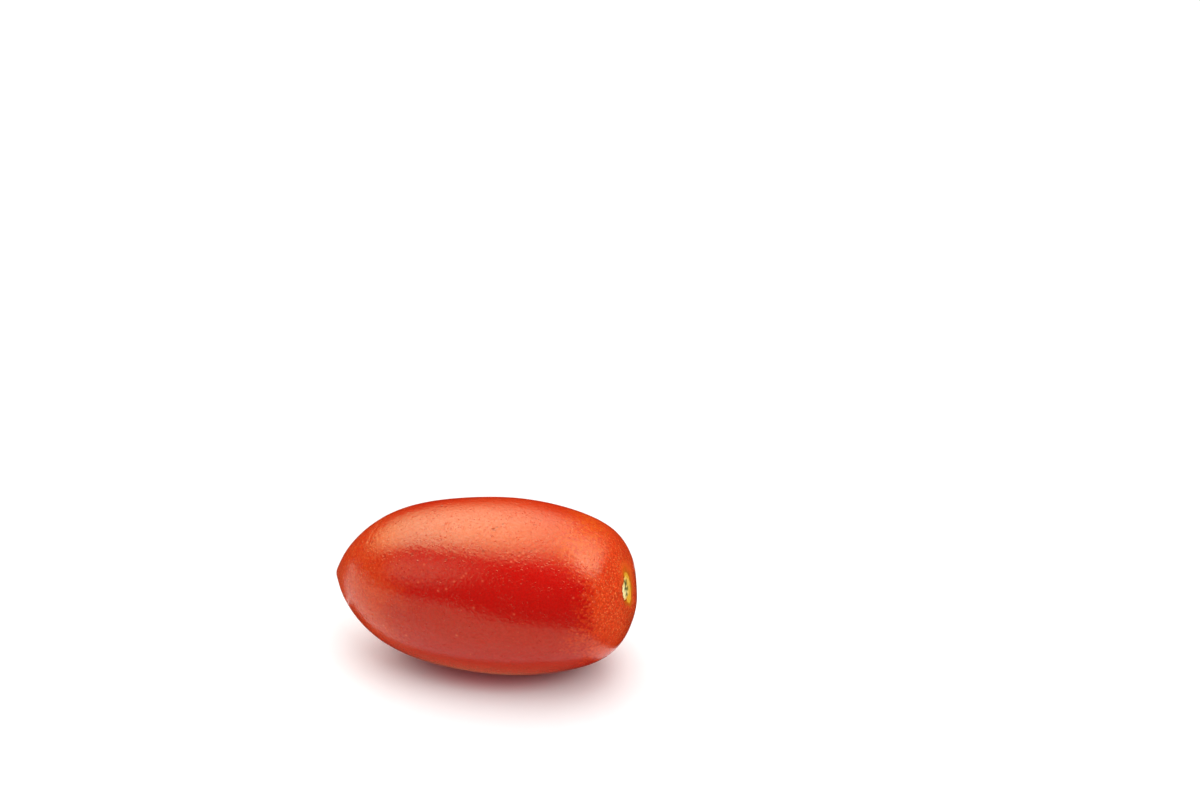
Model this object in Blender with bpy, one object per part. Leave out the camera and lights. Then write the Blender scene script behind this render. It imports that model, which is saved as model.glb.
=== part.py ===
"""A ripe plum tomato with no stalk, lying on its side: one solid.

The long axis runs along X, from the pointed blossom end at -X to the blunt stem end at +X. The fruit
lies on a small flat spot under its weight, and the stem end rides slightly higher than the tip.
The origin is on the surface that it lies on, under the middle of its bounding box.
"""
import math

import bmesh
import bpy
from mathutils import Matrix

# Driving sizes in metres, angles in degrees. "Round" the fruit, 0 is its top and 90 its front, at -Y.
LENGTH = 0.0753              # blossom tip to stem end, before the dimple and the tip's point
MID_RADIUS = 0.0236          # the radius that the swell works on
SWELL = (-0.257, 0.086, -0.097, 0.006, -0.025)   # cosine terms that taper the tip and square the shoulder
LIE = 2.3                    # how far the stem end is tipped up where the fruit lies
FLAT_DEPTH = 0.00035         # how far the skin gives where the weight rests

# The cross-section isn't a true circle: each term is (how many lobes, height over radius, where).
LOBES = ((4, 0.011, 45.0), (3, 0.005, 200.0), (2, 0.004, 20.0))

STEM_RIBS = 5                # soft ribs on the shoulder, one for each lobe of the fruit's calyx
RIB_DEPTH = 0.0002           # depth of the furrows between them
RIB_PLACE = 0.0085           # distance from the scar where they are deepest
RIB_SPREAD = 0.0045          # and how far they reach in and out from there

FACING_FRONT = 2.5           # the stem end's plane is turned this far to the front
FACING_UP = 3.0              # and this far up
SHOULDER_REACH = 0.022       # where the body takes up these turns
SCAR_SHIFT = (-0.0038, 0.0043)   # the scar sits this far towards the front and this far up
SCAR_REACH = 0.0175          # the skin is drawn along with it out to here
CAP_START = 100.0            # the stem end's rounding starts where the profile has turned this far
DIMPLE_DEPTH = 0.0005        # the hollow that the stalk stood in
DIMPLE_FLOOR = 0.0020        # radius of the hollow's floor
DIMPLE_RADIUS = 0.0078       # radius of its mouth
LEVELLING = 0.65             # share of the rounding under it that the hollow's floor takes out
PAD_HEIGHT = 0.0003          # the cork that healed over the stalk's place stands proud of the floor
PAD_RADIUS = 0.0028
PAD_WAVES = ((2, 0.08, 60.0), (3, 0.06, 10.0))   # its outline, in terms like the cross-section's
PAD_EDGE = 0.0005            # width of its sloping edge

POINT_HEIGHT = 0.0006        # the small point left by the flower
POINT_RADIUS = 0.0020
TIP_LIFT = 0.0006            # the blossom end bends up this far

# How finely the surface is divided.
SEGMENTS = 72                # faces round the fruit
SCAR_RING_STEP = 0.0005      # ring spacing on the stem end's dimple
SCAR_RINGS = 14
TIP_RING_STEP = 0.0006       # ring spacing on the blossom end's point
TIP_RINGS = 4
BODY_RINGS = 39
MERGE = 0.000001             # the spin's seam and poles are closed at this distance

SKIN = {"name": "ripe skin", "color": (0.56, 0.028, 0.012, 1.0), "roughness": 0.26}
CORK = {"name": "stalk scar", "color": (0.62, 0.50, 0.20, 1.0), "roughness": 0.80}


def clear_scene():
    for thing in list(bpy.data.objects):
        bpy.data.objects.remove(thing, do_unlink=True)


def ease(value, low, high):
    """0 below low, 1 above high and a smooth rise between."""
    share = min(max((value - low) / (high - low), 0.0), 1.0)
    return share * share * (3 - 2 * share)


def bell(value, width):
    return math.exp(-(value / width) ** 2)


def profile_radius(turn):
    """The fruit's radius where the profile has turned this far: 0 at the tip, pi at the stem end."""
    swell = 1 + sum(height * math.cos((k + 1) * turn) for k, height in enumerate(SWELL))
    return MID_RADIUS * math.sin(turn) * swell


def profile_turns():
    """Where the rings lie: closely on the tip's point and on the stem end's dimple, evenly between."""
    tip_slope = profile_radius(0.001) / 0.001
    stem_slope = profile_radius(math.pi - 0.001) / 0.001
    tip = [k * TIP_RING_STEP / tip_slope for k in range(TIP_RINGS + 1)]
    stem = [math.pi - k * SCAR_RING_STEP / stem_slope for k in range(SCAR_RINGS, -1, -1)]
    step = (stem[0] - tip[-1]) / (BODY_RINGS + 1)
    body = [tip[-1] + (k + 1) * step for k in range(BODY_RINGS)]
    return tip + body + stem


def spin_body(mesh):
    """Turn the profile about the long axis into a closed body."""
    points = [mesh.verts.new((-LENGTH / 2 * math.cos(turn), 0, profile_radius(turn)))
              for turn in profile_turns()]
    points[0].co.z = 0
    points[-1].co.z = 0
    edges = [mesh.edges.new(pair) for pair in zip(points, points[1:])]
    bmesh.ops.spin(mesh, geom=points + edges, cent=(0, 0, 0), axis=(1, 0, 0),
                   angle=2 * math.pi, steps=SEGMENTS)
    bmesh.ops.remove_doubles(mesh, verts=mesh.verts, dist=MERGE)
    bmesh.ops.recalc_face_normals(mesh, faces=mesh.faces)


def waves(terms, round_angle):
    """The sum of terms that each hold a count of lobes, their height and where they stand."""
    return sum(height * math.cos(count * (round_angle - math.radians(place)))
               for count, height, place in terms)


def cap_place(radius):
    """How far along the fruit its rounded stem end has this radius."""
    low, high = math.radians(CAP_START), math.pi
    for _ in range(40):
        turn = (low + high) / 2
        if profile_radius(turn) > radius:
            low = turn
        else:
            high = turn
    return -LENGTH / 2 * math.cos(turn)


def draw_to_scar(place, distance):
    """Slide the skin over the stem end's rounding to where the scar sits, and level the hollow's floor."""
    slide = 1 - ease(distance, PAD_RADIUS, SCAR_REACH)
    place.y += slide * SCAR_SHIFT[0]
    place.z += slide * SCAR_SHIFT[1]
    place.x = cap_place(math.hypot(place.y, place.z))
    level = LEVELLING * (1 - ease(distance, DIMPLE_FLOOR, DIMPLE_RADIUS))
    place.x += level * (cap_place(math.hypot(*SCAR_SHIFT)) - place.x)


def shape_stem_end(place, distance, round_scar):
    """Ribs, the dimple and the cork pad round the scar, and the turn of the whole stem end."""
    furrow = (1 - math.cos(STEM_RIBS * round_scar)) / 2
    furrow *= bell(distance - RIB_PLACE, RIB_SPREAD) * ease(distance, PAD_RADIUS, RIB_PLACE)
    pad_radius = PAD_RADIUS * (1 + waves(PAD_WAVES, round_scar))
    place.x -= RIB_DEPTH * furrow
    place.x -= DIMPLE_DEPTH * (1 - ease(distance, DIMPLE_FLOOR, DIMPLE_RADIUS))
    place.x += PAD_HEIGHT * (1 - ease(distance, pad_radius, pad_radius + PAD_EDGE))
    hold = 1 - ease(math.hypot(place.y, place.z), PAD_RADIUS, SHOULDER_REACH)
    place.x += hold * math.tan(math.radians(FACING_FRONT)) * place.y
    place.x -= hold * math.tan(math.radians(FACING_UP)) * place.z


def shape_body(mesh):
    for vertex in mesh.verts:
        place = vertex.co
        distance = math.hypot(place.y, place.z)
        round_scar = math.atan2(-place.y, place.z)
        if place.x > 0 and distance < SCAR_REACH:
            draw_to_scar(place, distance)
        round_angle = math.atan2(-place.y, place.z)
        along = 2 * place.x / LENGTH
        factor = 1 + math.sqrt(max(1 - along ** 2, 0)) * waves(LOBES, round_angle)
        place.y *= factor
        place.z *= factor
        if place.x > 0:
            shape_stem_end(place, distance, round_scar)
        else:
            place.x -= POINT_HEIGHT * bell(distance, POINT_RADIUS)
            place.z += TIP_LIFT * along ** 2


def lay_down(mesh):
    """Tip the stem end up, press the flat spot and put the origin under the middle of the box."""
    bmesh.ops.rotate(mesh, verts=mesh.verts, cent=(0, 0, 0),
                     matrix=Matrix.Rotation(-math.radians(LIE), 3, "Y"))
    ground = min(vertex.co.z for vertex in mesh.verts) + FLAT_DEPTH
    for vertex in mesh.verts:
        vertex.co.z = max(vertex.co.z, ground)
    middle = [(min(v.co[axis] for v in mesh.verts) + max(v.co[axis] for v in mesh.verts)) / 2
              for axis in (0, 1)]
    bmesh.ops.translate(mesh, verts=mesh.verts, vec=(-middle[0], -middle[1], -ground))


def material(look):
    made = bpy.data.materials.new(look["name"])
    made.use_nodes = True
    shader = made.node_tree.nodes["Principled BSDF"]
    shader.inputs["Base Color"].default_value = look["color"]
    shader.inputs["Roughness"].default_value = look["roughness"]
    shader.inputs["Metallic"].default_value = 0.0
    made.diffuse_color = look["color"]
    return made


def scar_faces(mesh):
    """The faces of the cork pad: those round the stem end's pole, out to the pad's edge."""
    pole = max(mesh.verts, key=lambda vertex: len(vertex.link_edges) * (vertex.co.x > 0))
    return [face for face in mesh.faces
            if (face.calc_center_median() - pole.co).length < PAD_RADIUS + PAD_EDGE / 2]


def make_tomato():
    mesh = bmesh.new()
    spin_body(mesh)
    shape_body(mesh)
    lay_down(mesh)
    for face in scar_faces(mesh):
        face.material_index = 1
    data = bpy.data.meshes.new("tomato")
    mesh.to_mesh(data)
    mesh.free()
    data.materials.append(material(SKIN))
    data.materials.append(material(CORK))
    data.shade_smooth()
    tomato = bpy.data.objects.new("tomato", data)
    bpy.context.scene.collection.objects.link(tomato)
    return tomato


clear_scene()
make_tomato()
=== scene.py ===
"""The looks of a ripe plum tomato that lies on a pale floor under soft studio light."""
import math
import random

import bpy
import numpy as np
from mathutils import Matrix, Vector, noise
from mathutils.bvhtree import BVHTree


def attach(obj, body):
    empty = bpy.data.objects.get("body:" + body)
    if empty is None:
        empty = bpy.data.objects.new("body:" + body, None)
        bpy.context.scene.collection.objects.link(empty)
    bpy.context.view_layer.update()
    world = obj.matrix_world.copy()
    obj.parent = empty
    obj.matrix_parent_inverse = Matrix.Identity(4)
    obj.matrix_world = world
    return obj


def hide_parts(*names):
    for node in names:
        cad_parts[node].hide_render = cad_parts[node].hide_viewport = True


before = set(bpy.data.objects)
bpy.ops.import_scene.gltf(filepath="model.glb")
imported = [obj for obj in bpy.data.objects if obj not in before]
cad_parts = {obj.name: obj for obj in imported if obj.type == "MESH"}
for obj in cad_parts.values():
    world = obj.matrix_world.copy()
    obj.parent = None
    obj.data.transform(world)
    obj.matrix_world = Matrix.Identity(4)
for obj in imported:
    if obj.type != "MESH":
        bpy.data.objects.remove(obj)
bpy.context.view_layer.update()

MM = 0.001

# The camera, as the photograph was taken: in metres, degrees, and millimetres for the lens.
CAMERA_PLACE = (0.144352, -0.578963, 0.394395)
CAMERA_TURN = (61.62941, 0.0, 11.24271)
LENS = 85.0
SENSOR = 36.0
PHOTO_WIDTH = 1200
PHOTO_HEIGHT = 805

# The stem end's scar and the blossom end's point, in metres.
SCAR = (0.03661, -0.00371, 0.02701)
SCAR_NORMAL = (0.9889, -0.0754, 0.1282)
SCAR_RADIUS = 2.85 * MM
GOLD_PATCH = (0.0366, -0.0035, 0.0264)   # middle of the gold skin round it
GOLD_SQUEEZE = (1.0, 1.0, 0.78)          # the gold reaches further up and down than across
HALO = (0.0363, -0.0028, 0.0280)         # middle of the orange patch round that
TIP = (-0.03794, -0.0002, 0.0195)
MIDDLE = (0.0, 0.0, 0.0215)              # the fruit's middle, which every light faces

# Cracks in the cork, as lines across the scar in millimetres: to the viewer's right, then up.
CRACKS = (
    ((-0.2, 2.0), (0.1, 1.2), (-0.3, 0.5), (0.2, -0.5), (-0.2, -1.3), (0.1, -2.1)),
    ((0.1, 1.2), (0.8, 1.0), (1.1, 1.5)),
    ((0.2, -0.5), (0.9, -0.4), (1.3, -1.0)),
    ((-0.3, 0.5), (-0.9, 0.1)),
    ((-0.2, -1.3), (-0.8, -1.6)),
)
CRACK_DEPTH = 0.22 * MM
CRACK_WIDTH = 0.44 * MM
CRACK_WALL = (0.3 * CRACK_WIDTH, 1.6 * CRACK_WIDTH)   # its side lies this far from its line

# The rest of the scar's relief: sizes of its bumps, heights and widths.
SCAR_AREA = 9 * MM           # it is worked out this far round the scar's centre
EDGE_ROUGH = (0.7 * MM, 0.25 * MM)       # size and height of the raggedness of edges
CRACK_WOBBLE = (1.1 * MM, 0.3 * MM)      # size and height of the bends in the cracks
CORK_GRAIN = (0.45 * MM, 0.03 * MM)
CORK_EDGE = 0.35 * MM        # width over which the cork's relief ends
GROOVE_OUT = 0.15 * MM       # the groove lies this far outside the cork
GROOVE_WIDTH = 0.35 * MM
GROOVE_DEPTH = 0.10 * MM
GROOVE_ROUGH = 0.6           # share of the raggedness that the groove takes up

# Small pits in the skin where they show in the photograph: pixel, radius and depth in millimetres.
PITS = (
    ((494.2, 529.2), 0.42, 0.180), ((497.2, 527.0), 0.32, 0.140), ((503.0, 523.6), 0.28, 0.070),
    ((511.6, 517.5), 0.28, 0.035), ((513.2, 527.5), 0.26, 0.030), ((535.6, 524.6), 0.28, 0.035),
    ((541.2, 520.8), 0.26, 0.030), ((533.0, 518.8), 0.24, 0.025), ((548.4, 534.0), 0.26, 0.030),
    ((483.0, 551.5), 0.34, 0.055), ((535.0, 549.0), 0.28, 0.040), ((474.3, 554.6), 0.28, 0.045),
    ((472.0, 562.0), 0.26, 0.035), ((445.8, 559.2), 0.38, 0.070), ((453.2, 557.0), 0.28, 0.050),
    ((450.0, 551.7), 0.26, 0.035), ((441.0, 540.0), 0.28, 0.030), ((411.8, 554.0), 0.36, 0.070),
    ((415.5, 551.0), 0.26, 0.040), ((428.0, 571.4), 0.28, 0.045), ((385.0, 556.5), 0.36, 0.050),
    ((389.5, 553.5), 0.28, 0.040), ((371.5, 542.5), 0.36, 0.060), ((374.0, 538.0), 0.28, 0.045),
    ((397.8, 563.8), 0.26, 0.040), ((505.0, 551.5), 0.30, 0.035), ((511.0, 555.0), 0.28, 0.035),
    ((519.5, 552.5), 0.28, 0.035), ((526.0, 556.0), 0.28, 0.035), ((531.0, 551.5), 0.30, 0.035),
    ((544.0, 551.0), 0.28, 0.030), ((442.0, 505.8), 0.45, 0.060), ((446.0, 506.3), 0.35, 0.050),
    ((416.0, 515.5), 0.30, 0.030),
)
# Each pit is a hollow with smaller hollows and raised grains beside it: size and distance as shares of
# its radius, and depth as a share of its depth.
PIT_PARTS = ((0.8, 0.0, 0.55), (0.6, 0.8, 0.5), (0.45, 1.3, 0.4), (0.45, 1.6, -0.8), (0.5, 2.0, -0.9),
             (0.4, 1.7, -0.8))
PIT_SEED = 11
# Pits are darkened with painted shade, and the deeper ones take more of it.
PIT_FULL = 0.03 * MM         # a pit this deep is as dark as pits get
FINE_SPAN = 0.8 * MM         # the skin is divided more finely this far round each pit, grain and fold

# Single grains that stand proud of the skin and are coloured pale rose as a painted glint, as pixels of the
# photograph.
GRAINS = (
    (454.2, 581.7), (446.0, 589.2), (438.0, 591.0), (482.5, 581.0), (461.5, 577.8), (463.8, 576.0),
    (466.2, 573.6), (473.8, 607.6), (514.0, 614.4), (456.5, 635.5), (406.0, 635.5), (424.0, 564.4),
    (418.0, 582.5), (507.5, 553.0), (511.0, 562.0), (515.0, 560.5), (519.0, 556.0), (503.0, 556.5),
    (523.5, 553.5), (529.0, 556.5), (537.0, 552.0), (385.2, 628.0), (387.2, 631.0), (383.5, 625.5),
    (598.0, 593.0), (590.0, 604.3), (594.3, 602.0), (579.0, 581.8), (594.0, 587.3), (594.0, 619.8),
    (598.0, 619.8), (573.4, 598.0), (583.7, 595.4), (604.5, 626.0), (577.0, 633.8), (597.0, 533.5),
    (586.5, 540.0), (595.0, 541.0), (609.5, 538.0), (565.0, 560.5),
)
GRAIN_RADIUS = 0.25 * MM
GRAIN_HEIGHT = 0.035 * MM

# Fine folds in the skin where they show in the photograph, as lines of pixels.
FOLDS = (((380.0, 521.5), (376.5, 527.0), (373.0, 532.0), (370.0, 538.0), (368.0, 545.0)),)
FOLD_DEPTH = 0.055 * MM
FOLD_WIDTH = 0.42 * MM
FOLD_STEPS = 4               # places along each piece of a fold

MERGE = 0.002 * MM           # corners of the solid that are this close are one
ROUNDING = 2                 # how often each of its faces is divided into four

# The skin's slight unevenness: size and height.
WAVES = ((11 * MM, 0.050 * MM), (4.4 * MM, 0.024 * MM), (2.2 * MM, 0.016 * MM))
RELIEF_START = (0.2 * MM, 1.5 * MM)      # no relief below the first height and all of it above the second
NOISE_SHIFT = (17.3, 5.1, 9.7)           # the seed moves the noise by this many bumps

# Skin and scar colours, as linear red, green and blue.
DEEP_RED = (0.445, 0.0008, 0.0010)
# painted light: the brighter red where light falls on the top
LIT_RED = (0.56, 0.0009, 0.0008)
TIP_ORANGE = (0.64, 0.056, 0.0085)
ORANGE_RED = (0.71, 0.058, 0.0080)
DARK_ORANGE = (0.61, 0.022, 0.0030)
GOLDEN_ORANGE = (0.80, 0.140, 0.0080)
DARK_SPECK = (0.42, 0.010, 0.003)
# pale flecks, partly the skin's own and partly painted glints
FLECK_AND_GLINT = (0.92, 0.24, 0.07)
STREAK = (0.84, 0.19, 0.040)
GOLD = (0.90, 0.46, 0.030)
DARK_GOLD = (0.60, 0.12, 0.004)
HALO_ORANGE = (0.80, 0.110, 0.009)
CORK_CREAM = (0.94, 0.84, 0.40)
CORK_SHADE = (0.80, 0.47, 0.050)
CRACK_OLIVE = (0.100, 0.100, 0.012)
RIM_BROWN = (0.42, 0.035, 0.003)
# painted shade in the pits
PIT_SHADE_RED = (0.29, 0.0008, 0.0005)
GRAIN_GLINT_ROSE = (0.88, 0.16, 0.075)
BLOSSOM_BROWN = (0.11, 0.045, 0.014)

# Where a colour takes over: where it starts, where it is full and, if that isn't 1, its share there.
STEM_SPAN = (25 * MM, 36 * MM)           # along the fruit
TIP_SPAN = (-12 * MM, -33 * MM)
SPECKLED_TIP = (-20 * MM, -36 * MM, 0.6)
# The brighter red is painted light from above: it grows towards the top, and is weaker at the tip's end.
LIT_RED_SPAN = (-8 * MM, 24 * MM, 0.6)
LIT_RED_LEAST = 0.4                         # and this share is added all along
CROWN_SPAN = (16 * MM, 27 * MM, 0.65)
LIT_RED_HEIGHT = (24 * MM, 38 * MM)         # by height
TOP_HEIGHT = (37 * MM, 44 * MM, 0.75)
CROWN_HEIGHT = (36 * MM, 40 * MM)
OVER_TOP = (33 * MM, 43 * MM, 12 * MM)   # here the stem end's orange reaches in by up to the last number
SPECKLED_STEM = (19 * MM, 7 * MM)        # by distance from the scar
HALO_RING = (6.2 * MM, 3.4 * MM, 0.85)
DARK_GOLD_RING = (4.7 * MM, 3.4 * MM)
GOLD_RING = (3.5 * MM, 2.8 * MM)
RIM_RING = (3.5 * MM, 3.1 * MM)
CORK_RING = (3.0 * MM, 2.7 * MM)
CORK_ENDS = (1.2 * MM, 2.4 * MM, 0.9)    # above and below the scar's centre
BLOSSOM_RING = (1.2 * MM, 0.5 * MM, 0.9)
FAR_SIDE = (-4.6 * MM, -2.4 * MM)        # across the fruit, where the scar's far side starts
# The rings are smaller by the second number, to which the first is added on the scar's far side.
RING_SPREAD = (-1.3 * MM, 1.0 * MM)

# Mottling: its scale per metre, and the noise where it starts and where it is full.
CLOUD_MOTTLE = (150.0, 0.30, 0.70)
GRAIN_MOTTLE = (1400.0, 0.30, 0.70)
TONE_MOTTLE = (1400.0, 0.34, 0.66)
RUST_MOTTLE = (420.0, 0.50, 0.66)
GOLDEN_MOTTLE = (1100.0, 0.35, 0.65)
STREAK_MOTTLE = (900.0, 0.52, 0.80)
GRANULE_MOTTLE = (2000.0, 0.35, 0.65)
CORK_MOTTLE = (1100.0, 0.40, 0.70)
EDGE_MOTTLE = (800.0, 0.25, 0.75)
WAX_MOTTLE = (1300.0, 0.35, 0.65)
PORE_MOTTLE = (240.0, 0.42, 0.62)
RELIEF_MOTTLE = (1000.0, 0.15, 0.85)
CLOUD_SHIFT = 2.0 * MM                   # clouds and grain move the edges of the colours this far
GRAIN_SHIFT = 2.5 * MM
EDGE_SHIFT = 0.3 * MM                    # and the scar's rings have edges as ragged as this
STREAK_DRAW = (0.16, 1.0, 1.0)           # streaks are drawn out along the fruit
MOTTLE_STRENGTH = 0.5                    # of the tones and the rust
STREAK_STRENGTH = 0.55
CORK_STRENGTH = 0.6
PIT_SHADE_STRENGTH = 0.85
GRAIN_GLINT_STRENGTH = 0.45

# Round specks: their scale per metre and their radius in cells.
DARK_SPECKS = (1750.0, 0.42)
PALE_SPECKS = (1650.0, 0.41)
PIMPLES = (1550.0, 0.45)
PORES = (1250.0, 0.40)
SPECK_CORE = 0.4                         # share of a speck's radius where it is full
SPECK_STRENGTH = (0.8, 0.3)              # what chance adds at most, and the least

# What grows towards the fruit's ends, or with patches of pores: by how much, and from what.
DARK_SHARE = (0.55, 0.15)
DARK_STRENGTH = (0.50, 0.25)
PALE_SHARE = (0.95, 0.05)
PALE_STRENGTH = (0.52, 0.13)
GRANULE_CONTRAST = (0.22, 0.14)
PIMPLE_SHARE = (0.50, 0.10)
PORE_SHARE = (0.30, 0.12)

# The skin's finish, and heights of its finest relief as shares of RELIEF_HEIGHT.
SKIN_ROUGHNESS = 0.19
CORK_ROUGHNESS = 0.71
WAX_WEIGHT = 0.22
RELIEF_HEIGHT = 0.060 * MM
PORE_HEIGHT = -1.0
PIMPLE_HEIGHT = 1.1
FLECK_HEIGHT = 0.4
FINISH = {
    "IOR": 1.5,
    "Specular IOR Level": 0.5,
    "Specular Tint": (0.70, 0.86, 0.44, 1.0),
    "Coat Roughness": 0.15,
    "Subsurface Weight": 0.05,
    "Subsurface Radius": (1.0, 0.20, 0.10),
    "Subsurface Scale": 1.2 * MM,
}

# The floor has painted light near the fruit, and right under it a painted shadow tinted with the fruit's
# red bounce. Both edges are ovals, given as shares of the painted patch's size: where the colour starts and
# where it is full.
FLOOR_RADIUS = 6.0
PAPER_ROUGHNESS = 0.9
PAPER = (0.82, 0.82, 0.82)
PAINTED_LIGHT_PAPER = (0.98, 0.975, 0.975)
PAINTED_RED_SHADE = (0.80, 0.34, 0.36)
PAINTED_PATCH_SIZE = (0.036, 0.024)
PAINTED_PATCH_MIDDLE = (0.05, 0.0, 0.0)
PAINTED_LIGHT_OVAL = (2.4, 1.2)
PAINTED_SHADE_OVAL = (0.72, 0.34)

# Softboxes that only light: name, way to it, distance, width, depth, its face's brightness and its roll.
SOFTBOXES = (
    ("main softbox", (-0.22, 0.32, 0.92), 1.0, 1.5, 1.5, 1.28, 18.0),
    ("side softbox", (0.45, -0.33, 0.84), 1.0, 0.8, 0.8, 2.0, 0.0),
    ("front fill", (-0.1, -0.9, 0.43), 1.2, 1.6, 0.8, 0.36, 0.0),
)

# Cards that only the shine shows: name, way to it, width, depth, colour, brightness, how far in it fades
# at its left, right, low and high edges, its roll, and the colour of its low half.
MAIN_GLOW = (0.76, 0.97, 0.82)
LOW_GLOW = (0.79, 0.84, 0.38)
SIDE_GLOW = (0.84, 0.96, 1.00)
FRONT_GLOW = (0.90, 0.95, 0.96)
SHINE_DISTANCE = 1.0
SHINES = (
    ("main shine", (-0.269, 0.385, 0.883), 2.46, 2.92, MAIN_GLOW, 10.5,
     (0.82, 0.57, 0.51, 0.61), 18.0, LOW_GLOW),
    ("side shine", (0.596, 0.341, 0.727), 1.83, 1.28, SIDE_GLOW, 8.7,
     (0.34, 0.90, 0.85, 0.28), 0.0, None),
    ("front shine", (-0.62, -0.55, 0.56), 1.0, 1.0, FRONT_GLOW, 1.7,
     (0.4, 0.4, 0.4, 0.4), 0.0, None),
)
LOW_HALF = (0.10, 0.50)                  # its own colour ends between these shares of the card's depth

# Outlines, seen from above in metres, of cards that show only in the shine and paint a reflection of dark
# or shaded floor over the pale floor's.
FLOOR_OUTLINE = ((-1.2, -2.5), (-0.163, -0.362), (-0.056, -0.193), (-0.013, -0.119), (0.008, -0.088),
                 (0.034, -0.066), (0.048, -0.050), (0.045, -0.022), (0.040, -0.006), (0.036, 0.003),
                 (0.028, 0.040), (0.5, 0.5), (1.5, -0.5), (1.5, -2.5))
TIP_OUTLINE = ((-0.040, 0.008), (-0.054, 0.002), (-0.078, 0.009), (-0.16, 0.032), (-0.16, 0.090),
               (-0.040, 0.060))
UNDER_OUTLINE = ((-0.040, 0.008), (-0.054, -0.003), (-0.042, -0.009), (-0.030, -0.0145),
                 (-0.016, -0.0185), (0.002, -0.0210), (0.018, -0.0200), (0.032, -0.0135), (0.032, 0.008))
FLOOR_SCREEN_HEIGHT = 0.002
UNDER_SCREEN_HEIGHT = 0.003              # the tip's and the fruit's screens lie over the floor's

# Screens that stand on the floor: where they start and end, their height, and how far their tops lean.
BACK_SCREEN = ((-0.30, 0.10), (0.10, 0.05), 0.05, 0.0)
LEFT_SCREEN = ((-0.060, 0.045), (-0.125, 0.030), 0.045, 0.0)
RIGHT_SCREEN = ((0.06, 0.06), (0.075, -0.06), 0.06, 0.01)

# The screens glow in these colours as painted reflections: near-black for dark surroundings, dull red for
# shaded floor near the fruit, and red for red surroundings.
FLOOR_SCREEN_COLOR = (0.04, 0.012, 0.008)
TIP_SCREEN_COLOR = (0.30, 0.070, 0.040)
UNDER_SCREEN_COLOR = (0.15, 0.035, 0.022)
UNDER_SCREEN_FRONT = (0.70, 0.300, 0.165)
BACK_SCREEN_COLOR = (0.30, 0.030, 0.006)
LEFT_SCREEN_COLOR = (0.30, 0.020, 0.008)
RIGHT_SCREEN_COLOR = (0.22, 0.010, 0.004)

WORLD_GLOW = 0.58                        # how brightly the surroundings light the fruit


def smooth(value, low, high):
    """0 below low, 1 above high and a smooth rise between."""
    share = np.clip((value - low) / (high - low), 0.0, 1.0)
    return share * share * (3 - 2 * share)


def bell(value, width):
    return np.exp(-(value / width) ** 2)


def deselect():
    bpy.ops.object.select_all(action="DESELECT")


def make_active(piece):
    deselect()
    piece.select_set(True)
    bpy.context.view_layer.objects.active = piece


# Camera

def add_camera():
    turn = [math.radians(angle) for angle in CAMERA_TURN]
    bpy.ops.object.camera_add(location=CAMERA_PLACE, rotation=turn)
    made = bpy.context.object
    made.data.lens = LENS
    made.data.sensor_width = SENSOR
    bpy.context.scene.camera = made


def sight_line(pixel):
    """The direction in which the camera sees one of the photograph's pixels."""
    focal = PHOTO_WIDTH * LENS / SENSOR
    ray = Vector(((pixel[0] - PHOTO_WIDTH / 2) / focal, (PHOTO_HEIGHT / 2 - pixel[1]) / focal, -1.0))
    turn = Matrix.Rotation(math.radians(CAMERA_TURN[2]), 3, "Z")
    tilt = Matrix.Rotation(math.radians(CAMERA_TURN[0]), 3, "X")
    return (turn @ tilt @ ray).normalized()


# The fruit's shape

def take_body():
    """A copy of the solid with its triangles joined into faces of four, divided finely and rounded."""
    body = bpy.data.objects.new("fruit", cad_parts["tomato"].data.copy())
    bpy.context.scene.collection.objects.link(body)
    body.data.materials.clear()
    make_active(body)
    bpy.ops.object.mode_set(mode="EDIT")
    bpy.ops.mesh.select_all(action="SELECT")
    bpy.ops.mesh.remove_doubles(threshold=MERGE)
    bpy.ops.mesh.tris_convert_to_quads(face_threshold=math.radians(30),
                                       shape_threshold=math.radians(120))
    bpy.ops.object.mode_set(mode="OBJECT")
    rounding = body.modifiers.new("rounding", "SUBSURF")
    rounding.levels = ROUNDING
    rounding.render_levels = ROUNDING
    bpy.ops.object.modifier_apply(modifier=rounding.name)
    bpy.ops.object.shade_smooth()
    return body


def read_vectors(items, field):
    values = np.empty(len(items) * 3, np.float32)
    items.foreach_get(field, values)
    return values.reshape(-1, 3).astype(float)


def soft_noise(places, size, seed):
    """Noise of about -1 to 1, with bumps of the given size."""
    shift = Vector(NOISE_SHIFT) * seed
    return np.array([noise.noise(Vector(place) / size + shift) for place in places])


def distance_to_line(points, line):
    """Each flat point's distance from a line of straight pieces."""
    nearest = np.full(len(points), 1.0)
    for start, end in zip(line, line[1:]):
        start = np.array(start) * MM
        piece = np.array(end) * MM - start
        share = np.clip((points - start) @ piece / (piece @ piece), 0.0, 1.0)
        away = np.linalg.norm(points - start - share[:, None] * piece, axis=1)
        nearest = np.minimum(nearest, away)
    return nearest


def scar_map(places):
    """Distance from the scar's centre, and the place across it: to the viewer's right, then up."""
    normal = Vector(SCAR_NORMAL).normalized()
    right = Vector((0, 0, 1)).cross(normal).normalized()
    up = normal.cross(right)
    offsets = places - np.array(SCAR)
    across = np.stack([offsets @ np.array(right), offsets @ np.array(up)], axis=1)
    return np.linalg.norm(offsets, axis=1), across


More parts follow.
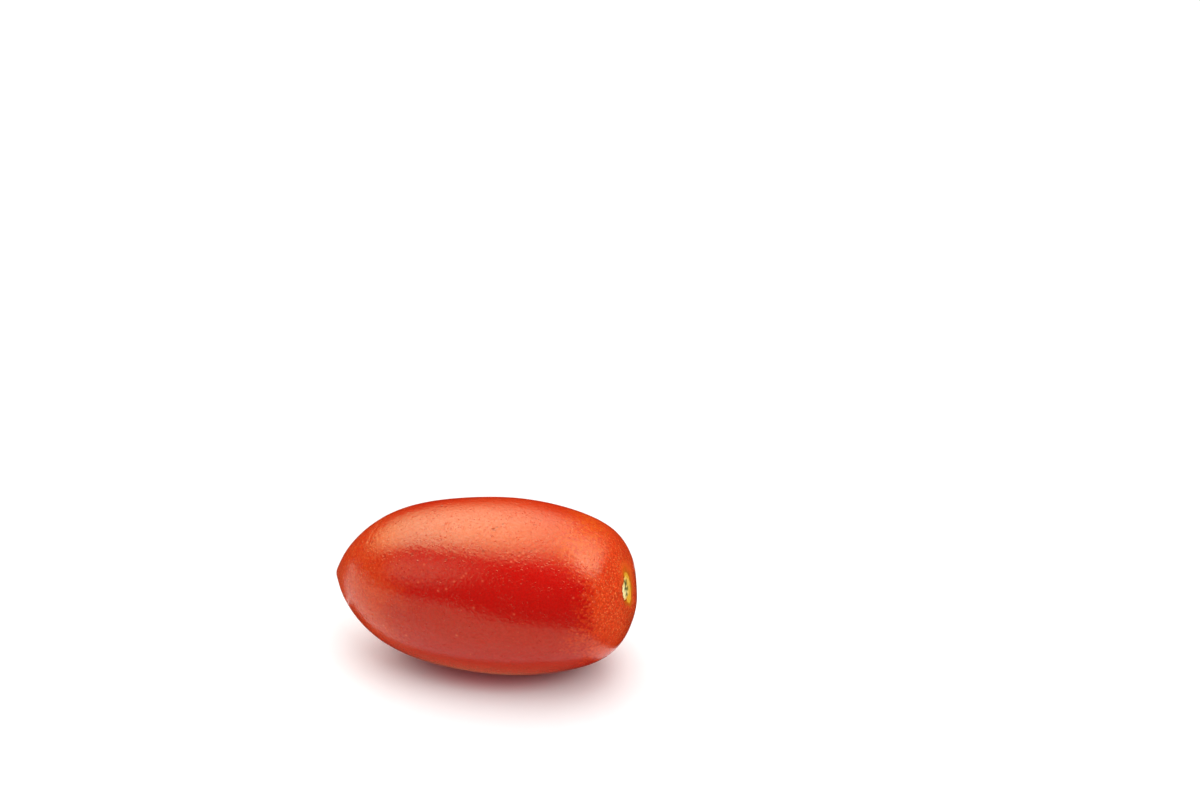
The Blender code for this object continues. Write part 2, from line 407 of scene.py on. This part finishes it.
def carve_scar(places):
    """Depths of the cork's cracks and of the groove round it, and how much each spot is crack."""
    distance, across = scar_map(places)
    depth = np.zeros(len(places))
    crack = np.zeros(len(places))
    near = distance < SCAR_AREA
    spots = across[near]
    rough_size, rough_height = EDGE_ROUGH
    rough = soft_noise(places[near], rough_size, seed=3) * rough_height
    bend_size, bend_height = CRACK_WOBBLE
    bends = [soft_noise(places[near], bend_size, seed) for seed in (4, 5)]
    spots += np.stack(bends, axis=1) * bend_height
    lines = np.min([distance_to_line(spots, line) for line in CRACKS], axis=0)
    inside = 1 - smooth(distance[near], SCAR_RADIUS - CORK_EDGE, SCAR_RADIUS)
    crack[near] = (1 - smooth(lines + rough, *CRACK_WALL)) * inside
    grain_size, grain_height = CORK_GRAIN
    grain = (1 + soft_noise(places[near], grain_size, seed=6)) * grain_height * inside
    groove = bell(distance[near] + rough * GROOVE_ROUGH - SCAR_RADIUS - GROOVE_OUT, GROOVE_WIDTH)
    depth[near] = crack[near] * CRACK_DEPTH + grain + groove * GROOVE_DEPTH
    return depth, crack


def place_seen(tree, pixel):
    """The spot on the skin that the camera sees at one of the photograph's pixels."""
    return tree.ray_cast(Vector(CAMERA_PLACE), sight_line(pixel))[0]


def find_pits(tree):
    """Places, radii and depths of the pits that the photograph shows, and of the grains beside them."""
    chance = random.Random(PIT_SEED)
    pits = []
    for pixel, radius, depth in PITS:
        middle = place_seen(tree, pixel)
        for size, away, rise_or_fall in PIT_PARTS:
            step = Vector([chance.uniform(-1, 1) for _ in range(3)]).normalized() * away * radius * MM
            place = tree.find_nearest(middle + step)[0]
            pits.append((place, radius * size * MM, depth * rise_or_fall * MM))
    return pits


def find_folds(tree):
    """Places a short way apart along each of the folds that the photograph shows."""
    places = []
    for fold in FOLDS:
        for start, end in zip(fold, fold[1:]):
            for step in range(FOLD_STEPS):
                pixel = [start[axis] + (end[axis] - start[axis]) * step / FOLD_STEPS for axis in (0, 1)]
                places.append(place_seen(tree, pixel))
    return places


def divide_near(body, places):
    """Divide the skin three times as finely round the given places, where its relief is small."""
    centres = read_vectors(body.data.polygons, "center")
    near = np.zeros(len(centres), bool)
    for place in places:
        near |= np.linalg.norm(centres - np.array(place), axis=1) < FINE_SPAN
    make_active(body)
    bpy.ops.object.mode_set(mode="EDIT")
    bpy.ops.mesh.select_mode(type="FACE")
    bpy.ops.mesh.select_all(action="DESELECT")
    bpy.ops.object.mode_set(mode="OBJECT")
    body.data.polygons.foreach_set("select", near)
    bpy.ops.object.mode_set(mode="EDIT")
    bpy.ops.mesh.subdivide(number_cuts=2, smoothness=0.0)
    bpy.ops.object.mode_set(mode="OBJECT")
    bpy.ops.object.shade_smooth()


def bell_round(places, middles, width):
    """1 at each of the middles, falling off to 0 round them."""
    nearest = np.full(len(places), 1.0)
    for middle in middles:
        nearest = np.minimum(nearest, np.linalg.norm(places - np.array(middle), axis=1))
    return bell(nearest, width)


def press_pits(places, pits):
    """Depth of the pits and of the raised grains beside them, and how much painted shade each spot takes as
    pit.
    """
    depth = np.zeros(len(places))
    share = np.zeros(len(places))
    for place, radius, deep in pits:
        away = np.linalg.norm(places - np.array(place), axis=1)
        hollow = bell(away, radius)
        depth += deep * hollow
        share = np.maximum(share, hollow * np.clip(deep / PIT_FULL, 0, 1))
    return depth, share


def write_attribute(body, name, values):
    attribute = body.data.attributes.new(name, "FLOAT", "POINT")
    attribute.data.foreach_set("value", values.astype(np.float32))


def shape_skin(body):
    """Press the fine relief into the skin, only inwards, and note where cracks, pits and grains are."""
    tree = BVHTree.FromObject(body, bpy.context.evaluated_depsgraph_get())
    pits = find_pits(tree)
    folds = find_folds(tree)
    grains = [place_seen(tree, pixel) for pixel in GRAINS]
    divide_near(body, [place for place, _, _ in pits] + folds + grains)
    places = read_vectors(body.data.vertices, "co")
    normals = read_vectors(body.data.vertices, "normal")
    depth = np.zeros(len(places))
    for seed, (size, height) in enumerate(WAVES):
        depth += height * (1 - soft_noise(places, size, seed)) / 2
    scar_depth, crack = carve_scar(places)
    pit_depth, pit = press_pits(places, pits)
    fold = bell_round(places, folds, FOLD_WIDTH)
    grain = bell_round(places, grains, GRAIN_RADIUS)
    depth += scar_depth + pit_depth + fold * FOLD_DEPTH - grain * GRAIN_HEIGHT
    depth = np.maximum(depth, 0.0)
    depth *= smooth(places[:, 2], *RELIEF_START)
    places -= normals * depth[:, None]
    body.data.vertices.foreach_set("co", places.astype(np.float32).ravel())
    write_attribute(body, "crack", crack)
    write_attribute(body, "pit", pit)
    write_attribute(body, "grain", grain)
    body.data.update()


# Materials

def plug(tree, socket, value):
    """Link an output to the socket, or set the socket to a plain value."""
    if isinstance(value, bpy.types.NodeSocket):
        tree.links.new(value, socket)
    else:
        socket.default_value = value


def calculate(tree, operation, *values):
    node = tree.nodes.new("ShaderNodeMath")
    node.operation = operation
    for socket, value in zip(node.inputs, values):
        plug(tree, socket, value)
    return node.outputs[0]


def times(tree, first, second):
    return calculate(tree, "MULTIPLY", first, second)


def plus(tree, first, second):
    return calculate(tree, "ADD", first, second)


def grow(tree, value, growth, start):
    """Start where the value is 0, and the growth more where it is 1."""
    return calculate(tree, "MULTIPLY_ADD", value, growth, start)


def larger(tree, first, second):
    return calculate(tree, "MAXIMUM", first, second)


def rise(tree, value, low, high, top=1.0):
    """0 where the value is low, top where it is high and a smooth rise between."""
    node = tree.nodes.new("ShaderNodeMapRange")
    node.interpolation_type = "SMOOTHSTEP"
    for socket, setting in zip(node.inputs, (value, low, high, 0.0, top)):
        plug(tree, socket, setting)
    return node.outputs[0]


def blend(tree, share, first, second):
    node = tree.nodes.new("ShaderNodeMix")
    node.data_type = "RGBA"
    for socket, value in ((node.inputs[0], share), (node.inputs[6], first), (node.inputs[7], second)):
        plug(tree, socket, (*value, 1.0) if isinstance(value, tuple) else value)
    return node.outputs[2]


def attribute(tree, name):
    node = tree.nodes.new("ShaderNodeAttribute")
    node.attribute_name = name
    return node.outputs["Fac"]


def distance_from(tree, vector, place):
    node = tree.nodes.new("ShaderNodeVectorMath")
    node.operation = "DISTANCE"
    plug(tree, node.inputs[0], vector)
    node.inputs[1].default_value = place
    return node.outputs["Value"]


def open_group(name, *values):
    """A node group that takes a place and some numbers and gives one mask."""
    tree = bpy.data.node_groups.new(name, "ShaderNodeTree")
    tree.interface.new_socket("Vector", in_out="INPUT", socket_type="NodeSocketVector")
    for value in values:
        tree.interface.new_socket(value, in_out="INPUT", socket_type="NodeSocketFloat")
    tree.interface.new_socket("Mask", in_out="OUTPUT", socket_type="NodeSocketFloat")
    return tree, tree.nodes.new("NodeGroupInput").outputs, tree.nodes.new("NodeGroupOutput").inputs


def make_specks():
    """Round specks, some fainter: Size is their radius in cells, Share the share of cells with one."""
    tree, given, result = open_group("Specks", "Scale", "Size", "Share")
    cells = tree.nodes.new("ShaderNodeTexVoronoi")
    plug(tree, cells.inputs["Vector"], given["Vector"])
    plug(tree, cells.inputs["Scale"], given["Scale"])
    chance = tree.nodes.new("ShaderNodeSeparateColor")
    plug(tree, chance.inputs[0], cells.outputs["Color"])
    inner = times(tree, given["Size"], SPECK_CORE)
    spot = rise(tree, cells.outputs["Distance"], given["Size"], inner)
    chosen = calculate(tree, "LESS_THAN", chance.outputs[0], given["Share"])
    strength = grow(tree, chance.outputs[1], *SPECK_STRENGTH)
    plug(tree, result["Mask"], times(tree, spot, times(tree, chosen, strength)))
    return tree


def make_mottle():
    """Soft cloudy patches: none where the noise is at Low, full where it is at High."""
    tree, given, result = open_group("Mottle", "Scale", "Low", "High")
    clouds = tree.nodes.new("ShaderNodeTexNoise")
    plug(tree, clouds.inputs["Vector"], given["Vector"])
    plug(tree, clouds.inputs["Scale"], given["Scale"])
    clouds.inputs["Detail"].default_value = 3.0
    clouds.inputs["Roughness"].default_value = 0.55
    plug(tree, result["Mask"], rise(tree, clouds.outputs[0], given["Low"], given["High"]))
    return tree


def use_group(tree, group, vector, *values):
    node = tree.nodes.new("ShaderNodeGroup")
    node.node_tree = group
    for socket, value in zip(node.inputs, (vector, *values)):
        plug(tree, socket, value)
    return node.outputs["Mask"]


def plain_material(name, color, roughness):
    made = bpy.data.materials.new(name)
    made.use_nodes = True
    shader = made.node_tree.nodes["Principled BSDF"]
    shader.inputs["Base Color"].default_value = (*color, 1.0)
    shader.inputs["Roughness"].default_value = roughness
    return made


def separated(tree, vector):
    node = tree.nodes.new("ShaderNodeSeparateXYZ")
    plug(tree, node.inputs[0], vector)
    return node.outputs


def stretched(tree, vector, factors):
    """The place with each of its axes scaled by a factor of its own."""
    node = tree.nodes.new("ShaderNodeVectorMath")
    node.operation = "MULTIPLY"
    plug(tree, node.inputs[0], vector)
    node.inputs[1].default_value = factors
    return node.outputs["Vector"]


def scaled(tree, vector, factor):
    node = tree.nodes.new("ShaderNodeVectorMath")
    node.operation = "SCALE"
    plug(tree, node.inputs[0], vector)
    plug(tree, node.inputs["Scale"], factor)
    return node.outputs["Vector"]


def ground_color(tree, place, axes, mottle):
    """Deep red with painted light that brightens it towards the top, turning orange towards both ends and
    over the top, and the shares of the ends' orange.
    """
    clouds = grow(tree, use_group(tree, mottle, place, *CLOUD_MOTTLE), 2 * CLOUD_SHIFT, -CLOUD_SHIFT)
    grain = grow(tree, use_group(tree, mottle, place, *GRAIN_MOTTLE), 2 * GRAIN_SHIFT, -GRAIN_SHIFT)
    reach = plus(tree, plus(tree, axes["X"], clouds), grain)
    stem_side = rise(tree, plus(tree, reach, rise(tree, axes["Z"], *OVER_TOP)), *STEM_SPAN)
    tip_side = rise(tree, reach, *TIP_SPAN)
    top = rise(tree, axes["Z"], *TOP_HEIGHT)
    # painted light: the red is brighter towards the top, and less so at the tip's end
    lit_along = plus(tree, rise(tree, axes["X"], *LIT_RED_SPAN), LIT_RED_LEAST)
    painted_top_light = times(tree, rise(tree, axes["Z"], *LIT_RED_HEIGHT), lit_along)
    color = blend(tree, painted_top_light, DEEP_RED, LIT_RED)
    color = blend(tree, tip_side, color, TIP_ORANGE)
    color = blend(tree, larger(tree, stem_side, top), color, ORANGE_RED)
    crown = times(tree, rise(tree, axes["Z"], *CROWN_HEIGHT), rise(tree, axes["X"], *CROWN_SPAN))
    golden = use_group(tree, mottle, place, *GOLDEN_MOTTLE)
    color = blend(tree, times(tree, crown, golden), color, GOLDEN_ORANGE)
    return color, stem_side, tip_side


def skin_color(tree, place, specks, mottle, scar_distance):
    """The skin away from its scar: its ground with tones, specks, streaks, flecks that are partly painted
    glints, and granules on it.
    """
    axes = separated(tree, place)
    color, stem_side, tip_side = ground_color(tree, place, axes, mottle)
    tones = use_group(tree, mottle, place, *TONE_MOTTLE)
    tones = times(tree, tones, times(tree, larger(tree, stem_side, tip_side), MOTTLE_STRENGTH))
    color = blend(tree, tones, color, DARK_ORANGE)
    rust = use_group(tree, mottle, place, *RUST_MOTTLE)
    color = blend(tree, times(tree, rust, times(tree, tip_side, MOTTLE_STRENGTH)), color, DARK_ORANGE)

    near_scar = rise(tree, scar_distance, *SPECKLED_STEM)
    near_ends = larger(tree, near_scar, rise(tree, axes["X"], *SPECKLED_TIP))
    dark = use_group(tree, specks, place, *DARK_SPECKS, grow(tree, near_ends, *DARK_SHARE))
    color = blend(tree, times(tree, dark, grow(tree, near_ends, *DARK_STRENGTH)), color, DARK_SPECK)
    streaks = use_group(tree, mottle, stretched(tree, place, STREAK_DRAW), *STREAK_MOTTLE)
    streaks = times(tree, streaks, times(tree, near_ends, STREAK_STRENGTH))
    color = blend(tree, streaks, color, STREAK)
    # pale flecks, partly the skin's own colour and partly painted glints
    flecks = use_group(tree, specks, place, *PALE_SPECKS, grow(tree, near_ends, *PALE_SHARE))
    color = blend(tree, times(tree, flecks, grow(tree, near_ends, *PALE_STRENGTH)), color, FLECK_AND_GLINT)
    granules = calculate(tree, "SUBTRACT", use_group(tree, mottle, place, *GRANULE_MOTTLE), 0.5)
    granules = times(tree, granules, grow(tree, near_ends, *GRANULE_CONTRAST))
    return scaled(tree, color, calculate(tree, "SUBTRACT", 1.0, granules)), flecks


def scar_color(tree, place, mottle, skin, scar_distance, edge, on_cork):
    """Cork with a dark rim, then gold and orange where the skin takes over, mostly on its far side."""
    axes = separated(tree, place)
    far_side = rise(tree, plus(tree, axes["Y"], edge), *FAR_SIDE)
    shift = plus(tree, edge, grow(tree, far_side, *RING_SPREAD))
    halo_distance = plus(tree, distance_from(tree, place, HALO), shift)
    color = blend(tree, rise(tree, halo_distance, *HALO_RING), skin, HALO_ORANGE)
    gold_middle = tuple(along * squeeze for along, squeeze in zip(GOLD_PATCH, GOLD_SQUEEZE))
    gold_distance = distance_from(tree, stretched(tree, place, GOLD_SQUEEZE), gold_middle)
    gold_distance = plus(tree, gold_distance, shift)
    color = blend(tree, rise(tree, gold_distance, *DARK_GOLD_RING), color, DARK_GOLD)
    color = blend(tree, rise(tree, gold_distance, *GOLD_RING), color, GOLD)
    rim = rise(tree, plus(tree, scar_distance, edge), *RIM_RING)
    near_side = calculate(tree, "SUBTRACT", 1.0, far_side)
    color = blend(tree, times(tree, rim, near_side), color, RIM_BROWN)
    patches = times(tree, use_group(tree, mottle, place, *CORK_MOTTLE), CORK_STRENGTH)
    from_centre = calculate(tree, "ABSOLUTE", calculate(tree, "SUBTRACT", axes["Z"], SCAR[2]))
    shade = larger(tree, larger(tree, patches, far_side), rise(tree, from_centre, *CORK_ENDS))
    return blend(tree, on_cork, color, blend(tree, shade, CORK_CREAM, CORK_SHADE))


def skin_relief(tree, place, specks, mottle, flecks):
    """Pores and pimples so fine that only the shine shows them."""
    patches = use_group(tree, mottle, place, *PORE_MOTTLE)
    pimples = use_group(tree, specks, place, *PIMPLES, grow(tree, patches, *PIMPLE_SHARE))
    pores = use_group(tree, specks, place, *PORES, grow(tree, patches, *PORE_SHARE))
    relief = use_group(tree, mottle, place, *RELIEF_MOTTLE)
    for layer, height in ((pores, PORE_HEIGHT), (pimples, PIMPLE_HEIGHT), (flecks, FLECK_HEIGHT)):
        relief = grow(tree, layer, height, relief)
    bump = tree.nodes.new("ShaderNodeBump")
    bump.inputs["Strength"].default_value = 1.0
    bump.inputs["Distance"].default_value = RELIEF_HEIGHT
    plug(tree, bump.inputs["Height"], relief)
    return bump.outputs["Normal"]


def skin_material():
    made = plain_material("tomato skin", DEEP_RED, SKIN_ROUGHNESS)
    tree = made.node_tree
    shader = tree.nodes["Principled BSDF"]
    specks = make_specks()
    mottle = make_mottle()
    place = tree.nodes.new("ShaderNodeTexCoord").outputs["Object"]
    scar_distance = distance_from(tree, place, SCAR)
    edge = grow(tree, use_group(tree, mottle, place, *EDGE_MOTTLE), 2 * EDGE_SHIFT, -EDGE_SHIFT)
    on_cork = rise(tree, plus(tree, scar_distance, edge), *CORK_RING)

    color, flecks = skin_color(tree, place, specks, mottle, scar_distance)
    color = scar_color(tree, place, mottle, color, scar_distance, edge, on_cork)
    color = blend(tree, attribute(tree, "crack"), color, CRACK_OLIVE)
    # painted shade darkens the pits
    color = blend(tree, times(tree, attribute(tree, "pit"), PIT_SHADE_STRENGTH), color, PIT_SHADE_RED)
    # painted glint: the raised grains are coloured pale rose
    color = blend(tree, times(tree, attribute(tree, "grain"), GRAIN_GLINT_STRENGTH), color, GRAIN_GLINT_ROSE)
    tip_distance = plus(tree, distance_from(tree, place, TIP), edge)
    color = blend(tree, rise(tree, tip_distance, *BLOSSOM_RING), color, BLOSSOM_BROWN)
    plug(tree, shader.inputs["Base Color"], color)
    roughness = grow(tree, on_cork, CORK_ROUGHNESS - SKIN_ROUGHNESS, SKIN_ROUGHNESS)
    plug(tree, shader.inputs["Roughness"], roughness)
    wax = times(tree, use_group(tree, mottle, place, *WAX_MOTTLE), WAX_WEIGHT)
    plug(tree, shader.inputs["Coat Weight"], times(tree, wax, rise(tree, on_cork, 1.0, 0.0)))
    plug(tree, shader.inputs["Normal"], skin_relief(tree, place, specks, mottle, flecks))
    for name, value in FINISH.items():
        shader.inputs[name].default_value = value
    return made


# Floor, lights and cards

def add_floor():
    deselect()
    bpy.ops.mesh.primitive_circle_add(vertices=96, radius=FLOOR_RADIUS, fill_type="NGON")
    floor = bpy.context.object
    floor.name = "floor"
    paper = plain_material("white paper with painted light and shade", PAPER, PAPER_ROUGHNESS)
    tree = paper.node_tree
    place = tree.nodes.new("ShaderNodeTexCoord").outputs["Object"]
    shares = stretched(tree, place, (1 / PAINTED_PATCH_SIZE[0], 1 / PAINTED_PATCH_SIZE[1], 1.0))
    away = distance_from(tree, shares, PAINTED_PATCH_MIDDLE)
    # painted light brightens the floor round the fruit, and a red-tinted painted shadow darkens it under
    # the fruit
    color = blend(tree, rise(tree, away, *PAINTED_LIGHT_OVAL), PAPER, PAINTED_LIGHT_PAPER)
    color = blend(tree, rise(tree, away, *PAINTED_SHADE_OVAL), color, PAINTED_RED_SHADE)
    plug(tree, tree.nodes["Principled BSDF"].inputs["Base Color"], color)
    floor.data.materials.append(paper)


def face_middle(direction, distance, roll):
    """The place and turn of a light or card that faces the fruit's middle."""
    way = Vector(direction).normalized()
    turn = way.to_track_quat("Z", "Y").to_matrix() @ Matrix.Rotation(math.radians(roll), 3, "Z")
    return Matrix.Translation(Vector(MIDDLE) + way * distance) @ turn.to_4x4()


def add_softbox(name, direction, distance, width, depth, radiance, roll):
    """An area light that faces the fruit and doesn't show in its shine."""
    bpy.ops.object.light_add(type="AREA")
    light = bpy.context.object
    light.name = name
    light.data.shape = "RECTANGLE"
    light.data.size = width
    light.data.size_y = depth
    light.data.energy = radiance * math.pi * width * depth
    light.matrix_world = face_middle(direction, distance, roll)
    light.visible_camera = False
    light.visible_glossy = False


def glow_material(name, color, strength, fade=None, low_color=None):
    """A card's glow, which can fade in from the card's left, right, low and high edges, each over a share
    of its size. Its low half can have a colour of its own."""
    made = plain_material(name, (0, 0, 0), 1.0)
    tree = made.node_tree
    shader = tree.nodes["Principled BSDF"]
    shader.inputs["Specular IOR Level"].default_value = 0.0
    shader.inputs["Emission Color"].default_value = (*color, 1.0)
    shader.inputs["Emission Strength"].default_value = strength
    axes = separated(tree, tree.nodes.new("ShaderNodeTexCoord").outputs["Generated"])
    if fade:
        left, right, low, high = fade
        glow = rise(tree, axes["X"], 0.0, left, strength)
        for axis, start, end in (("X", 1.0, 1 - right), ("Y", 0.0, low), ("Y", 1.0, 1 - high)):
            glow = times(tree, glow, rise(tree, axes[axis], start, end))
        plug(tree, shader.inputs["Emission Strength"], glow)
    if low_color:
        shift = rise(tree, axes["Y"], *LOW_HALF)
        plug(tree, shader.inputs["Emission Color"], blend(tree, shift, low_color, color))
    return made


def hide_but_in_shine(card):
    card.visible_camera = False
    card.visible_diffuse = False
    card.visible_shadow = False
    card.visible_transmission = False
    card.visible_volume_scatter = False


def add_shine(name, direction, width, depth, color, brightness, fade, roll, low_color):
    """A glowing card that gives the skin one of its highlights."""
    deselect()
    bpy.ops.mesh.primitive_plane_add(size=1.0)
    card = bpy.context.object
    card.name = name
    card.scale = (width, depth, 1.0)
    bpy.ops.object.transform_apply(location=False, rotation=False, scale=True)
    card.matrix_world = face_middle(direction, SHINE_DISTANCE, roll)
    card.data.materials.append(glow_material(name, color, brightness, fade, low_color))
    hide_but_in_shine(card)


def add_screen(name, corners, color, front_color=None):
    """A card seen only in the shine, whose glow paints a dark or tinted reflection in place of part of the
    pale floor.
    """
    data = bpy.data.meshes.new(name)
    data.from_pydata(corners, [], [tuple(range(len(corners)))])
    card = bpy.data.objects.new(name, data)
    bpy.context.scene.collection.objects.link(card)
    data.materials.append(glow_material(name, color, 1.0, low_color=front_color))
    hide_but_in_shine(card)


def lying(outline, height):
    """The corners of a screen that lies this high above the floor."""
    return [(*corner, height) for corner in outline]


def standing(start, end, height, lean):
    """The corners of a screen that stands on the floor from start to end, with its top moved along X."""
    top = [(end[0] + lean, end[1], height), (start[0] + lean, start[1], height)]
    return lying((start, end), 0.0) + top


def add_screens():
    add_screen("floor screen", lying(FLOOR_OUTLINE, FLOOR_SCREEN_HEIGHT), FLOOR_SCREEN_COLOR)
    add_screen("tip screen", lying(TIP_OUTLINE, UNDER_SCREEN_HEIGHT), TIP_SCREEN_COLOR)
    add_screen("under screen", lying(UNDER_OUTLINE, UNDER_SCREEN_HEIGHT), UNDER_SCREEN_COLOR,
               UNDER_SCREEN_FRONT)
    add_screen("back screen", standing(*BACK_SCREEN), BACK_SCREEN_COLOR)
    add_screen("left screen", standing(*LEFT_SCREEN), LEFT_SCREEN_COLOR)
    add_screen("right screen", standing(*RIGHT_SCREEN), RIGHT_SCREEN_COLOR)


def add_world():
    """Pale to the eye, a weak glow on the fruit and dark in its shine."""
    world = bpy.data.worlds.new("studio")
    bpy.context.scene.world = world
    world.use_nodes = True
    tree = world.node_tree
    path = tree.nodes.new("ShaderNodeLightPath").outputs
    seen = grow(tree, path["Is Camera Ray"], 1 - WORLD_GLOW, WORLD_GLOW)
    strength = grow(tree, path["Is Glossy Ray"], -WORLD_GLOW, seen)
    plug(tree, tree.nodes["Background"].inputs["Strength"], strength)
    tree.nodes["Background"].inputs["Color"].default_value = (1, 1, 1, 1)


add_camera()
fruit = take_body()
shape_skin(fruit)
fruit.data.materials.append(skin_material())
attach(fruit, "root")
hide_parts("tomato")

add_floor()
for softbox in SOFTBOXES:
    add_softbox(*softbox)
for shine in SHINES:
    add_shine(*shine)
add_screens()
add_world()
bpy.context.scene.view_settings.view_transform = "Standard"
